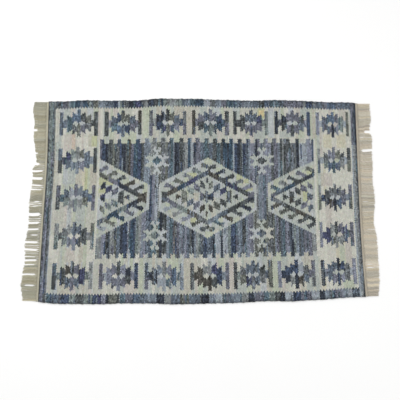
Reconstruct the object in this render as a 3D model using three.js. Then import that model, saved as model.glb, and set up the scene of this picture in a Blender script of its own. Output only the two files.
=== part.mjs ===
import * as THREE from 'three';

// A flat-woven rag rug with a fringe at both ends, lying flat on z = 0.
// Lengths are in millimetres and +Z is up. The warp runs along X and the rag weft along Y.

const clothLength = 1790; // between the two headings
const clothThickness = 6; // rag weft beaten down over a cotton warp
const headingWidth = 12;
const headingThickness = 4.5;
const fringeThickness = 3.6;
const tieBand = 6; // solid strip of each fringe, along its heading
const pieceGap = 0.3; // clearance between neighbouring pieces
const headingInset = 2; // how far a heading stops short of the selvedges
const edgeStep = 26; // spacing of the points along the selvedges
const endStep = 60; // spacing of the points along the ends
const strandPitch = 20.5; // one lock of warp ends
const tipNotch = 5; // depth of the notch between two locks of the same bunch

// Selvedges: distance of the back and front edge from the middle line, at places along the rug
const selvedgeRows = [
  { along: -895, back: 620, front: 603 },
  { along: -850, back: 621, front: 609 },
  { along: -795, back: 621, front: 614 },
  { along: -690, back: 628, front: 615 },
  { along: -530, back: 625, front: 616 },
  { along: -455, back: 627, front: 612 },
  { along: -400, back: 625, front: 612 },
  { along: -335, back: 631, front: 612 },
  { along: -245, back: 640, front: 613 },
  { along: -170, back: 638, front: 617 },
  { along: -15, back: 637, front: 614 },
  { along: 60, back: 632, front: 612 },
  { along: 155, back: 630, front: 610 },
  { along: 245, back: 627, front: 606 },
  { along: 325, back: 626, front: 600 },
  { along: 415, back: 630, front: 599 },
  { along: 485, back: 628, front: 601 },
  { along: 565, back: 625, front: 595 },
  { along: 665, back: 620, front: 590 },
  { along: 745, back: 615, front: 582 },
  { along: 835, back: 615, front: 576 },
  { along: 895, back: 611, front: 574 },
];

// Ends: how far each end line strays towards +X from its straight place
const endRows = [
  { across: -615, left: -5, right: 8 },
  { across: -400, left: -3, right: 0 },
  { across: -200, left: 0, right: -4 },
  { across: 0, left: 4, right: -4 },
  { across: 220, left: 8, right: -3 },
  { across: 420, left: 5, right: -1 },
  { across: 625, left: 1, right: 1 },
];

// Fringes: their length beyond the heading
const tipRows = [
  { across: -610, left: 68, right: 46 },
  { across: -570, left: 84, right: 62 },
  { across: -500, left: 92, right: 76 },
  { across: -440, left: 88, right: 80 },
  { across: -350, left: 79, right: 80 },
  { across: -280, left: 86, right: 83 },
  { across: -210, left: 79, right: 81 },
  { across: -135, left: 72, right: 69 },
  { across: -60, left: 77, right: 77 },
  { across: 40, left: 76, right: 82 },
  { across: 120, left: 68, right: 75 },
  { across: 195, left: 71, right: 78 },
  { across: 235, left: 55, right: 80 },
  { across: 300, left: 62, right: 78 },
  { across: 385, left: 75, right: 82 },
  { across: 440, left: 73, right: 70 },
  { across: 500, left: 76, right: 81 },
  { across: 575, left: 84, right: 76 },
  { across: 625, left: 70, right: 76 },
];

// Gaps between the bunches of each fringe: their place, width at the tips and share of the length
const leftGaps = [
  { across: -506, width: 8, depth: 0.7 },
  { across: -442, width: 9, depth: 0.85 },
  { across: -384, width: 9, depth: 0.9 },
  { across: -354, width: 7, depth: 0.9 },
  { across: -336, width: 7, depth: 0.85 },
  { across: -319, width: 7, depth: 0.9 },
  { across: -295, width: 8, depth: 0.9 },
  { across: -271, width: 7, depth: 0.85 },
  { across: -250, width: 8, depth: 0.9 },
  { across: -209, width: 8, depth: 0.85 },
  { across: -176, width: 9, depth: 0.85 },
  { across: -134, width: 10, depth: 0.9 },
  { across: -109, width: 8, depth: 0.85 },
  { across: -85, width: 8, depth: 0.85 },
  { across: -37, width: 5, depth: 0.6 },
  { across: -10, width: 5, depth: 0.6 },
  { across: 67, width: 9, depth: 0.9 },
  { across: 92, width: 10, depth: 0.9 },
  { across: 135, width: 9, depth: 0.9 },
  { across: 160, width: 8, depth: 0.85 },
  { across: 179, width: 8, depth: 0.85 },
  { across: 216, width: 12, depth: 0.8 },
  { across: 292, width: 12, depth: 0.3 },
  { across: 436, width: 14, depth: 0.35 },
];
const rightGaps = [
  { across: -395, width: 4, depth: 0.3 },
  { across: -12, width: 4, depth: 0.3 },
  { across: 307, width: 16, depth: 0.9 },
  { across: 389, width: 4, depth: 0.3 },
  { across: 425, width: 18, depth: 0.55 },
];

const ends = [
  { name: 'left', outward: -1, gaps: leftGaps },
  { name: 'right', outward: 1, gaps: rightGaps },
];

// Smooth reading of one column of a table between its rows
function readTable(rows, place, column, at) {
  let i = rows.findIndex((row) => row[place] > at);
  if (i < 0) i = rows.length - 1;
  if (i === 0) i = 1;
  const start = rows[i - 1];
  const end = rows[i];
  const before = rows[i - 2] ?? start;
  const after = rows[i + 1] ?? end;
  const span = end[place] - start[place];
  const t = THREE.MathUtils.clamp((at - start[place]) / span, 0, 1);
  const slopeStart = (end[column] - before[column]) / (end[place] - before[place]);
  const slopeEnd = (after[column] - start[column]) / (after[place] - start[place]);
  const a = (1 + 2 * t) * (1 - t) ** 2 * start[column] + t * (1 - t) ** 2 * span * slopeStart;
  const b = t * t * (3 - 2 * t) * end[column] - t * t * (1 - t) * span * slopeEnd;
  return a + b;
}

// X of an end line, moved outward by some distance, at a place across the rug
function endLine(end, across, offset = 0) {
  return end.outward * (clothLength / 2 + offset) + readTable(endRows, 'across', end.name, across);
}

// How far the cloth reaches across at one end: its front and back corner
function cornersOf(end, inset = 0) {
  const row = end.outward < 0 ? selvedgeRows[0] : selvedgeRows[selvedgeRows.length - 1];
  return { front: -row.front + inset, back: row.back - inset };
}

// Evenly spaced values from one number to another, both included
function spaced(from, to, step) {
  const count = Math.max(1, Math.round(Math.abs(to - from) / step));
  return Array.from({ length: count + 1 }, (_, i) => from + ((to - from) * i) / count);
}

// Closed solid of an outline in the XY plane, standing on z = 0
function slab(outline, thickness) {
  const shape = new THREE.Shape(outline.map(([x, y]) => new THREE.Vector2(x, y)));
  return new THREE.ExtrudeGeometry(shape, { depth: thickness, bevelEnabled: false });
}

function piece(name, geometry, color, roughness) {
  const material = new THREE.MeshStandardMaterial({ color, roughness, metalness: 0 });
  const mesh = new THREE.Mesh(geometry, material);
  mesh.name = name;
  return mesh;
}

// Woven cloth: front selvedge, right end, back selvedge, left end
function clothOutline() {
  const [left, right] = ends;
  const half = clothLength / 2;
  const selvedge = (side, sign) =>
    spaced(-half, half, edgeStep).map((x) => {
      const y = sign * readTable(selvedgeRows, 'along', side, x);
      const share = (x + half) / clothLength;
      const shift = (1 - share) * (endLine(left, y) + half) + share * (endLine(right, y) - half);
      return [x + shift, y];
    });
  const side = (end) => {
    const corner = cornersOf(end);
    return spaced(corner.front, corner.back, endStep)
      .slice(1, -1)
      .map((y) => [endLine(end, y), y]);
  };
  return [
    ...selvedge('front', -1),
    ...side(right),
    ...selvedge('back', 1).reverse(),
    ...side(left).reverse(),
  ];
}

// Heading: a narrow strip beside the end of the cloth
function headingOutline(end) {
  const { front, back } = cornersOf(end, headingInset);
  const line = spaced(front, back, endStep);
  const inner = line.map((y) => [endLine(end, y, pieceGap), y]);
  const outer = line.map((y) => [endLine(end, y, pieceGap + headingWidth), y]);
  return end.outward > 0 ? [...outer, ...inner.reverse()] : [...inner, ...outer.reverse()];
}

// Fringe: one comb, with a solid strip along the heading and its bunches of warp ends beyond it
function fringeOutline(end) {
  const { front, back } = cornersOf(end, headingInset);
  const root = headingWidth + 2 * pieceGap;
  const rootLine = spaced(front, back, endStep).map((y) => [endLine(end, y, root), y]);
  const tip = (y) => root + readTable(tipRows, 'across', end.name, y);
  const tipLine = [];
  let from = front;
  for (const gap of [...end.gaps, { across: back, width: 0, depth: 0 }]) {
    const to = gap.across - gap.width / 2;
    const cuts = spaced(from, to, strandPitch);
    cuts.forEach((y, i) => {
      const inner = i > 0 && i < cuts.length - 1;
      tipLine.push([endLine(end, y, tip(y) - (inner ? tipNotch : 0)), y]);
      if (i < cuts.length - 1) {
        const middle = (y + cuts[i + 1]) / 2;
        tipLine.push([endLine(end, middle, tip(middle)), middle]);
      }
    });
    if (gap.depth > 0) {
      const bottom = tip(gap.across) - gap.depth * (tip(gap.across) - root - tieBand);
      tipLine.push([endLine(end, gap.across, bottom), gap.across]);
    }
    from = gap.across + gap.width / 2;
  }
  return end.outward > 0 ? [...tipLine, ...rootLine.reverse()] : [...rootLine, ...tipLine.reverse()];
}

const rug = new THREE.Group();
rug.add(piece('cloth', slab(clothOutline(), clothThickness), 0x74839a, 0.95));
for (const end of ends) {
  rug.add(piece(`heading_${end.name}`, slab(headingOutline(end), headingThickness), 0xb7ad92, 0.95));
  rug.add(piece(`fringe_${end.name}`, slab(fringeOutline(end), fringeThickness), 0xb0a898, 0.95));
}

// The origin is under the middle of everything
const middle = new THREE.Box3().setFromObject(rug).getCenter(new THREE.Vector3());
rug.position.set(-middle.x, -middle.y, 0);

export default rug;
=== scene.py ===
import math

import bpy
import numpy as np
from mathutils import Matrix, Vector
from mathutils.bvhtree import BVHTree


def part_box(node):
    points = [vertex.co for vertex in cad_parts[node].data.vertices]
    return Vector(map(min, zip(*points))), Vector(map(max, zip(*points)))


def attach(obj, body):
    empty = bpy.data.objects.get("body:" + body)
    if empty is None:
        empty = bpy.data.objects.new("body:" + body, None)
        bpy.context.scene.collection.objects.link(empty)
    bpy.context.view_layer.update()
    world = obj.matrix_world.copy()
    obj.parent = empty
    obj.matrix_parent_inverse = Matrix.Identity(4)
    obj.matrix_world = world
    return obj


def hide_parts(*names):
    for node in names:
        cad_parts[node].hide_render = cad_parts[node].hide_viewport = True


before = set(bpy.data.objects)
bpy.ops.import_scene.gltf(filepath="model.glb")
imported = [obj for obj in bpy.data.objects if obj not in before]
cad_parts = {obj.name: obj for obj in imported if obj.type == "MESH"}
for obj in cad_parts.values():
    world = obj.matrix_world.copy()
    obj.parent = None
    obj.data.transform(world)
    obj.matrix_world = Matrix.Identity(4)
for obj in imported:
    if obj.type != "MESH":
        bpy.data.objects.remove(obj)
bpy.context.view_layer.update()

# A flat-woven rug of denim and cotton rags with a khaki fringe at both ends, lying on a pale floor.
# Lengths are in metres. In the chart they are in millimetres on the loom: x along the warp, y across.
mm = 0.001
print("frame loaded,", len(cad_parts), "nodes")

# Camera
camera = {
    "aim": (-0.003, -0.0115, 0.003),
    "distance": 7.33,
    "elevation": 68.0,  # degrees above the floor
    "lens": 116.4,  # mm on a 36 mm sensor
}


def makeCamera():
    data = bpy.data.cameras.new("camera")
    data.lens = camera["lens"]
    data.sensor_width = 36
    data.clip_end = 100
    ob = bpy.data.objects.new("camera", data)
    bpy.context.scene.collection.objects.link(ob)
    tilt = math.radians(camera["elevation"])
    back = Vector((0, -math.cos(tilt), math.sin(tilt)))
    ob.location = Vector(camera["aim"]) + back * camera["distance"]
    ob.rotation_euler = (math.pi / 2 - tilt, 0, 0)
    bpy.context.scene.camera = ob


# Rags, as red, green and blue from 0 to 255. fleck is how much the beads of one rag differ.
rags = {
    "ink": {"colour": (47, 53, 63), "fleck": 0.58},
    "navy": {"colour": (58, 69, 88), "fleck": 0.52},
    "indigo": {"colour": (62, 66, 90), "fleck": 0.46},
    "petrol": {"colour": (52, 69, 84), "fleck": 0.46},
    "denim": {"colour": (82, 97, 115), "fleck": 0.40},
    "slate": {"colour": (87, 97, 108), "fleck": 0.44},
    "steel": {"colour": (114, 124, 134), "fleck": 0.28},
    "pale": {"colour": (143, 151, 158), "fleck": 0.18},
    "lilac": {"colour": (121, 126, 139), "fleck": 0.26},
    "mauve": {"colour": (98, 101, 112), "fleck": 0.36},
    "teal": {"colour": (80, 98, 107), "fleck": 0.44},
    "sea": {"colour": (111, 121, 120), "fleck": 0.34},
    "coal": {"colour": (70, 75, 77), "fleck": 0.58},
    "moss": {"colour": (96, 100, 95), "fleck": 0.46},
    "bark": {"colour": (72, 71, 67), "fleck": 0.55},
    "smoke": {"colour": (96, 101, 104), "fleck": 0.48},
    "ash": {"colour": (125, 130, 131), "fleck": 0.26},
    "rust": {"colour": (110, 99, 96), "fleck": 0.30},
    "cream": {"colour": (179, 180, 170), "fleck": 0.07},
    "chalk": {"colour": (193, 193, 183), "fleck": 0.06},
    "oat": {"colour": (176, 174, 162), "fleck": 0.08},
    "lemon": {"colour": (174, 180, 163), "fleck": 0.07},
    "shell": {"colour": (182, 178, 170), "fleck": 0.07},
    "mist": {"colour": (168, 174, 168), "fleck": 0.08},
    "ice": {"colour": (173, 178, 179), "fleck": 0.08},
    "butter": {"colour": (190, 187, 168), "fleck": 0.07},
    "straw": {"colour": (173, 177, 146), "fleck": 0.08},
    "ochre": {"colour": (192, 178, 139), "fleck": 0.08},
    "peach": {"colour": (184, 171, 158), "fleck": 0.07},
}
ragNames = list(rags)
ragNumber = {name: number for number, name in enumerate(ragNames)}
firstLight = ragNumber["cream"]  # the rags before it are the dark ones


def linear(colour):
    share = np.asarray(colour, float) / 255
    return np.where(share <= 0.04045, share / 12.92, ((share + 0.055) / 1.055) ** 2.4)


def keepColour(colour):
    # No cloth is quite black or quite white
    return np.clip(colour, 0.002, 0.95)


# The cloth: what its maker would change
cloth = {
    "length": 1790,  # mm on the loom, between the headings
    "width": 1224,
    "picks": 440,  # rows of beads on the face
    "warps": 182,
    "underPicks": 170,
    "underWarps": 100,
    "thickness": 6.0,
    "relief": 1.7,  # height of a bead over its neighbours
    "selvedge": 0.8,  # how far the beads of the selvedge stand out
    "ragged": 0.9,  # how far the outermost rows wander
    "raggedPower": 30,  # a higher one keeps that to fewer rows
    # Each wave in it: its pace along the length, the shift of each side, its start and its height
    "raggedWaves": [(205, 1, 0, 1), (371, -2, 0, 1), (590, 0, 3, 0.7)],
    "bead": 0.62,  # how much the beads of one pick differ
    "lightFace": (1.1, 1.0),  # beads past this show a rag's light face, and how much lighter it is
    "darkFace": (-1.2, 0.6),  # beads below this show its dark face, and how much darker it is
    "streak": 0.42,  # how much the picks of one rag differ
    "streakParts": (0.8, 0.6),  # how much of that is a pick's own, and how much the last one's
    "places": 15,  # parts of the width in which they differ
    "lightRange": (0.3, 2.2),  # least and most light on a bead against its rag's own
    "hue": 0.02,  # how much the beads differ in hue
    "edgeShade": 0.58,  # painted shade along the selvedges: light left on the outermost beads
    "edgeWidth": 17,  # mm from the selvedge to where that shade ends
    "edgeSlope": 1.4,  # a higher one makes it end more steeply
    "edgeWander": 3,  # mm that it moves in and out with the streaks
    "strays": 0.11,  # share of the dark picks woven with another rag
    "strayPlaces": 13,  # parts of the width in which they change
    "strayRags": "navy slate steel teal smoke mauve",
    "seed": 7,
}

# The chart. A row of stripes goes from left to right: each rag, then the place in mm where it ends.
border = {
    "left": -853,
    "right": 865,
    "top": 565,
    "bottom": -556,
    "tooth": 2,  # picks in a tooth of the dovetail join
    "toothDepth": 2.9,
    "leftUpper": "coal -889 smoke -884 sea -870 teal -864 smoke -857 sea -853",
    "leftLower": "coal -889 mauve -880 lilac -872 coal -863 smoke -858 pale -853",
    "rightUpper": "pale 873 ash 884 smoke 890 coal 895",
    "rightLower": "pale 873 ash 885 smoke 890 coal 895",
    "rightTop": "mauve 876 slate 884 ink 895",
    "rightCorner": 330,  # above this the right border is woven as rightTop says
    "topBlocks": """
        teal -868 smoke -850 coal -815 mauve -785 ash -765 teal -742 petrol -660 sea -628 moss -604
        steel -560 slate -515 navy -490 pale -480 sea -455 smoke -430 ink -387 indigo -355 petrol -335
        ash -315 ink -280 coal -255 teal -240 petrol -225 sea -200 ash -150 sea -110 slate -85
        steel -70 teal -40 petrol 10 pale 45 smoke 80 steel 110 mauve 140 teal 158 petrol 172
        teal 200 slate 235 steel 300 slate 330 coal 365 denim 400 teal 450 slate 480 mauve 590
        ash 605 navy 640 smoke 665 slate 700 mauve 730 denim 780 slate 895""",
    "bottomBlocks": """
        teal -825 slate -770 navy -727 sea -695 coal -645 sea -600 navy -575 indigo -550 lilac -527
        ink -510 moss -465 coal -455 ash -450 teal -420 mauve -380 denim -345 slate -300 steel -250
        ink -205 ash -170 slate -120 moss -70 slate -5 ink 40 steel 75 pale 110 navy 125 slate 160
        steel 210 ash 255 ink 285 mauve 340 teal 370 sea 400 coal 430 ink 455 pale 500 navy 545
        mauve 600 pale 645 ink 675 steel 710 mauve 745 lilac 775 steel 800 pale 822 slate 865
        steel 895""",
}
field = {
    "left": -592,
    "right": 645,
    "top": 338,
    "bottom": -327,
    "line": 10,  # width of the light line beside it
    "split": 5,  # above this it is woven as above says, and below it as below says
    "toothTop": 369,
    "toothBottom": -353,
    "toothWidth": 24,
    "crown": 4,  # how deep the notch in the end of a tooth is
    "teethAbove": [
        -592, -540, -492, -435, -385, -333, -285, -237, -188, -133, -82, -37, 15, 62, 110,
        157, 207, 255, 307, 357, 404, 451, 475, 484, 537, 600, 632,
    ],
    "teethBelow": [
        -555, -505, -460, -419, -370, -325, -275, -222, -173, -120, -67, -16, 33, 80, 127,
        176, 222, 270, 321, 373, 419, 473, 521, 570, 619,
    ],
    "above": """
        mauve -578 navy -560 ink -543 coal -520 moss -506 coal -490 smoke -478 navy -465 ink -440
        coal -425 bark -412 mauve -396 petrol -372 navy -350 coal -334 steel -300 ash -262 moss -240
        smoke -215 moss -198 slate -184 teal -168 steel -161 ink -134 coal -112 smoke -100 ash -85
        petrol -66 pale -52 ink -38 mauve -12 slate 10 teal 38 slate 60 coal 84 teal 104 coal 118
        petrol 145 ink 153 petrol 178 pale 184 navy 202 ink 216 coal 230 steel 235 navy 250
        slate 266 steel 280 lilac 305 ink 320 mauve 355 lilac 395 coal 412 mauve 436 steel 450
        coal 461 ash 470 coal 510 smoke 545 ink 560 pale 606 lilac 645""",
    "below": """
        ash -565 lilac -538 coal -528 ink -513 ash -492 moss -478 slate -456 ink -440 navy -418
        pale -401 petrol -386 navy -372 sea -356 ash -338 lilac -314 slate -285 teal -255 moss -240
        ink -222 coal -198 steel -180 teal -165 slate -157 rust -151 smoke -142 mauve -124
        steel -116 mauve -104 slate -96 lilac -84 slate -68 coal -56 ink -44 steel -30 ash -20
        sea -8 slate 14 navy 32 slate 62 ink 75 pale 108 ink 121 pale 147 sea 165 navy 196
        steel 218 slate 228 coal 249 steel 262 lilac 276 mauve 290 ash 300 moss 376 smoke 395
        coal 403 moss 414 steel 422 mauve 434 coal 446 slate 458 teal 468 mauve 476 lilac 494
        slate 502 ink 520 sea 532 steel 546 coal 556 slate 570 coal 576 mauve 590 slate 600
        mauve 620 ash 645""",
    "between": "navy -286 lilac -268 pale -250 ash 324 steel 344 lilac 352 slate 368",
    "betweenParts": [(-300, -250), (312, 368)],  # where it is woven as between says
    "betweenHalf": 140,  # half height of these parts
}
# Stars: their middle, their width against the usual one, the rags of the left and right half of the
# light eye, those of the links to the bars, and the rags from the left bar to the right bar
stars = [
    {"x": -717, "y": 467, "wide": 1.04, "eye": "mist ice", "links": "slate coal",
     "upper": "slate teal denim denim coal moss coal",
     "lower": "slate teal smoke moss mauve smoke coal"},
    {"x": -458, "y": 465, "wide": 1.0, "eye": "mist mist", "links": "lilac mauve",
     "upper": "coal slate navy moss moss slate bark",
     "lower": "coal teal denim slate navy mauve coal"},
    {"x": -200, "y": 462, "wide": 1.0, "eye": "ice chalk", "links": "ash navy",
     "upper": "smoke ink ink coal moss slate smoke",
     "lower": "mauve navy indigo moss lilac lilac mauve"},
    {"x": 47, "y": 466, "wide": 1.0, "eye": "ice ice", "links": "mauve navy",
     "upper": "bark mauve slate mauve mauve navy coal",
     "lower": "bark coal teal sea sea petrol mauve"},
    {"x": 284, "y": 467, "wide": 0.94, "eye": "ice ice", "links": "coal sea",
     "upper": "coal coal slate slate slate indigo sea",
     "lower": "coal coal mauve mauve mauve mauve sea"},
    {"x": 525, "y": 465, "wide": 0.96, "eye": "ice mist", "links": "coal lilac",
     "upper": "ink ink mauve mauve mauve coal navy",
     "lower": "ink coal mauve coal mauve slate navy"},
    {"x": 758, "y": 466, "wide": 0.88, "eye": "cream shell", "links": "pale pale",
     "upper": "lilac slate denim denim mauve sea moss",
     "lower": "lilac slate mauve ink lilac sea moss"},
    {"x": -719, "y": 237, "wide": 1.03, "eye": "mist ice", "links": "navy steel",
     "upper": "slate indigo sea ash moss slate coal",
     "lower": "coal slate steel steel lilac slate coal"},
    {"x": -719, "y": 8, "wide": 1.03, "eye": "ice ice", "links": "teal denim",
     "upper": "mauve slate pale mauve steel slate mauve",
     "lower": "coal sea ash sea ash moss mauve"},
    {"x": -715, "y": -220, "wide": 1.03, "eye": "chalk chalk", "links": "coal ash",
     "upper": "ash smoke ash slate slate coal moss",
     "lower": "sea sea lilac lilac coal coal ash"},
    {"x": -715, "y": -454, "wide": 1.03, "eye": "chalk cream", "links": "sea sea",
     "upper": "slate coal bark coal mauve indigo ash",
     "lower": "coal coal slate mauve slate indigo ash"},
    {"x": -459, "y": -455, "wide": 1.0, "eye": "chalk ice", "links": "pale lilac",
     "upper": "mauve lilac mauve coal lilac ink navy",
     "lower": "mauve lilac mauve lilac mauve coal navy"},
    {"x": -207, "y": -458, "wide": 1.0, "eye": "ice lemon", "links": "ink ash",
     "upper": "slate ink steel ash lilac denim pale",
     "lower": "mauve ink pale pale teal denim steel"},
    {"x": 44, "y": -457, "wide": 1.0, "eye": "cream mist", "links": "bark steel",
     "upper": "smoke bark ash ash indigo navy mauve",
     "lower": "smoke bark bark bark coal navy mauve"},
    {"x": 283, "y": -457, "wide": 1.0, "eye": "ice ice", "links": "sea slate",
     "upper": "coal smoke slate slate slate coal moss",
     "lower": "coal moss indigo smoke slate smoke moss"},
    {"x": 525, "y": -458, "wide": 0.96, "eye": "ice ice", "links": "navy mauve",
     "upper": "lilac navy navy navy pale smoke mauve",
     "lower": "lilac ink ash ink bark slate smoke"},
    {"x": 758, "y": -459, "wide": 0.9, "eye": "mist mist", "links": "mauve pale",
     "upper": "ink slate slate ink navy smoke lilac",
     "lower": "ink slate mauve navy lilac smoke lilac"},
    {"x": 760, "y": 232, "wide": 0.88, "eye": "ice lemon", "links": "pale pale",
     "upper": "ash smoke lilac lilac moss smoke coal",
     "lower": "slate sea denim teal slate ash moss"},
    {"x": 760, "y": -3, "wide": 0.88, "eye": "ice ice", "links": "navy steel",
     "upper": "ash coal smoke smoke smoke mauve mauve",
     "lower": "moss ink bark ink denim mauve moss"},
    {"x": 760, "y": -232, "wide": 0.88, "eye": "mist shell", "links": "indigo smoke",
     "upper": "lilac indigo ash coal mauve indigo mauve",
     "lower": "lilac indigo moss ash ash navy mauve"},
]
starShape = {
    "tip": (10, 84),  # half width and height of the tip in the middle
    "inner": (38, 52, 72),  # how far out it reaches, its height there and back
    "outer": (68, 40, 57),
    "link": (87, 23),
    "bar": (108, 77),
    "eye": (38, 15, 17, -2),  # its reach, place and half height of its widest, and half height at 0
    "uneven": 4,
}
# Medallions: each quarter is a side and a half, with its rags from the middle outwards.
# leaves names the first, second and third leaf, the tall one, the tip and the side one, and in a whole
# medallion also the upright and the crown. The last hook is the knot at the side.
# shift is how far the hooks stand off their usual places, and lean how far the leaves do. leafY is the
# middle of the leaves.
medallions = [
    {"x": 33, "y": 5, "leafY": 9, "halfWidth": 280, "halfHeight": 241, "quarters": [
        {"side": -1, "half": 1, "shift": -8, "lean": -5,
         "band": "slate indigo petrol bark coal", "hooks": "moss sea ash moss mauve coal",
         "leaves": "coal mauve sea moss bark mauve moss mauve"},
        {"side": 1, "half": 1, "shift": 0, "lean": 5,
         "band": "bark coal indigo coal mauve", "hooks": "coal ink coal smoke lilac mauve",
         "leaves": "moss slate indigo moss coal navy slate coal"},
        {"side": -1, "half": -1, "shift": -5, "lean": -5,
         "band": "smoke bark sea mauve slate", "hooks": "coal moss lilac ash pale coal",
         "leaves": "bark mauve slate moss bark slate coal bark"},
        {"side": 1, "half": -1, "shift": -5, "lean": 5,
         "band": "steel slate coal coal ink", "hooks": "moss teal bark coal ink coal",
         "leaves": "bark moss coal moss coal ink coal bark"},
    ]},
    {"x": -592, "y": 5, "leafY": 9, "halfWidth": 291, "halfHeight": 240, "quarters": [
        {"side": 1, "half": 1, "shift": 6, "lean": -3,
         "band": "moss mauve ink coal bark", "hooks": "mauve moss coal bark coal bark",
         "leaves": "ink indigo mauve coal bark indigo"},
        {"side": 1, "half": -1, "shift": 6, "lean": -3,
         "band": "ash petrol sea ink bark", "hooks": "pale moss petrol mauve ink bark",
         "leaves": "moss sea sea coal bark ink"},
    ]},
    {"x": 645, "y": 2, "leafY": 3, "halfWidth": 269, "halfHeight": 230, "quarters": [
        {"side": -1, "half": 1, "shift": 5, "lean": -5,
         "band": "ink coal petrol slate mauve", "hooks": "moss mauve coal ash teal mauve",
         "leaves": "mauve mauve coal coal coal slate"},
        {"side": -1, "half": -1, "shift": 5, "lean": -5,
         "band": "coal bark coal smoke smoke", "hooks": "coal coal moss moss bark mauve",
         "leaves": "slate mauve coal bark coal mauve"},
    ]},
]
# Corners of the motifs in one quarter, from their middle: across the warp ends, then up
medallionShape = {
    "slope": 0.585,
    "height": 245,  # of the outline, as are the next four
    "outline": 220,
    "bandTop": 168,
    "bandFoot": 136,
    "side": 16,  # width of the light edge at the side
    "knotTop": 34,  # height of the last hook
    "hookPitch": 52,
    "hook": [(-20, 9), (-2, 18), (15, 29), (30, 38), (39, 39), (44, 34), (49, 12), (38, 9), (26, 9),
             (15, 3), (8, -3), (17, -11), (31, -19), (-20, -19)],
    "leaves": [
        [(9, 46), (9, 77), (37, 103), (37, 60)],
        [(38, 26), (38, 62), (75, 84), (75, 44)],
        [(76, 8), (76, 46), (111, 67), (111, 28)],
        [(112, -1), (112, 31), (142, 44), (142, -1)],
        [(145, -1), (145, 3), (178, 22), (178, -1)],
        [(8, -1), (8, 14), (39, 29), (39, -1)],
        [(-1, 42), (8, 32), (8, -1), (-1, -1)],
        [(-1, 84), (7, 91), (7, 106), (-1, 123)],
    ],
}
crosses = [
    {"x": -261, "y": 224, "hole": "teal", "light": "mist ice ice", "top": "ice"},
    {"x": 343, "y": 228, "hole": "coal", "light": "mist ice mist", "top": "mist"},
    {"x": -262, "y": -222, "hole": "sea", "light": "mist mist ice", "top": "ice"},
    {"x": 338, "y": -215, "hole": "slate", "light": "ice mist cream", "top": "mist"},
]
crossShape = {
    "hole": (31, 26),
    "third": 40,  # width of the parts that have their own light rag
    "flower": 62,  # height from which a flower is woven with its own rag
    "parts": [
        [(-1, -1), (45, -1), (45, 17), (31, 26), (10, 38), (-1, 40)],
        [(-1, 38), (8, 38), (7, 54), (29, 70), (23, 76), (11, 87), (6, 84), (5, 70), (-1, 64)],
        [(34, 10), (46, 10), (60, 17), (70, 22), (69, 29), (56, 30), (49, 33), (44, 48), (40, 34),
         (34, 22)],
    ],
}
# Light ground of the frame
ground = {
    "rows": [470, 237, 8, -220, -455],  # middles of the rows of stars
    "between": 352,  # further out than this, the ground between two stars is woven on its own
}
lightRun = (2, 10)  # picks woven with one light rag before the next: at least 2, and less than 10
# Light rags between the motifs: what each part of the rug is woven with, and where one rag shows as a
# block: its left, right, bottom, top and rag
lightMixes = {
    "frame": "cream cream cream chalk chalk oat mist mist ice shell lemon",
    "right": "chalk chalk chalk chalk chalk chalk shell butter",
    "medallion": "cream mist mist mist mist mist ice ice ice lemon",
}
lightBlocks = [
    (-800, -755, 300, 400, "shell"), (-755, -735, 300, 400, "peach"), (-660, -642, 320, 400, "oat"),
    (-640, -610, 320, 388, "straw"), (-535, -520, 490, 562, "lemon"), (-520, -490, 515, 562, "shell"),
    (-800, -770, 90, 210, "ice"), (-770, -728, 90, 175, "mist"), (-728, -690, 90, 190, "oat"),
    (-645, -605, 60, 200, "oat"), (-755, -705, -370, -290, "shell"), (-685, -660, -370, -280, "oat"),
    (655, 700, 70, 150, "oat"), (700, 745, 70, 150, "shell"),
    (-470, -380, 337, 415, "lemon"), (-170, -130, 337, 418, "lemon"), (-88, -62, 372, 562, "lemon"),
    (112, 130, 492, 562, "lemon"), (325, 364, 497, 562, "straw"), (330, 358, 505, 548, "ochre"),
    (570, 630, 500, 562, "mist"), (385, 415, 372, 562, "ice"), (155, 183, 372, 562, "cream"),
    (-345, -312, 372, 562, "lemon"), (-95, -62, 372, 562, "oat"),
    (450, 520, 372, 412, "mist"), (560, 590, 372, 430, "lemon"), (640, 656, 372, 562, "oat"),
    (656, 664, -200, 562, "lemon"), (664, 682, 300, 400, "mist"), (664, 682, 60, 150, "mist"),
    (700, 750, 310, 400, "butter"), (780, 830, 310, 400, "butter"), (-690, -674, 60, 190, "butter"),
    (-674, -655, 45, 190, "straw"),
    (-592, -510, 85, 130, "straw"), (575, 603, -22, 40, "straw"), (196, 232, 112, 142, "straw"),
    (240, 268, 88, 118, "straw"), (190, 235, 74, 98, "lemon"), (250, 290, 42, 62, "straw"),
    (-592, -552, 38, 62, "straw"), (560, 640, 60, 110, "lemon"), (600, 632, 145, 175, "straw"),
    (-190, -130, -420, -355, "lemon"), (-65, -30, -145, -115, "straw"), (-70, -30, 125, 150, "straw"),
    (90, 125, -420, -355, "lemon"), (780, 840, -560, -510, "lemon"), (770, 800, -420, -300, "lemon"),
    (-100, -60, -556, -352, "oat"), (150, 185, -556, -352, "shell"),
    (-400, -380, -420, -355, "lemon"), (10, 60, 205, 250, "lemon"), (20, 60, -235, -200, "lemon"),
    (-45, -20, -20, 30, "oat"),
]
tones = np.array([linear(rags[name]["colour"]) for name in ragNames])
flecks = np.array([rags[name]["fleck"] for name in ragNames])


def inside(x, y, corners):
    # True where a point is inside the outline that joins the corners
    found = np.zeros(x.shape, bool)
    for (x0, y0), (x1, y1) in zip(corners, corners[1:] + corners[:1]):
        if y0 == y1:
            continue
        crossing = (y0 > y) != (y1 > y)
        found ^= crossing & (x < x0 + (y - y0) * (x1 - x0) / (y1 - y0))
    return found


def numbersOf(names):
    return np.array([ragNumber[name] for name in names])


def stripe(x, text):
    # Rag number at each x
    words = text.split()
    ends = np.array([float(word) for word in words[1::2]])
    return numbersOf(words[::2])[np.clip(np.searchsorted(ends, x), 0, len(ends) - 1)]


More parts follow.
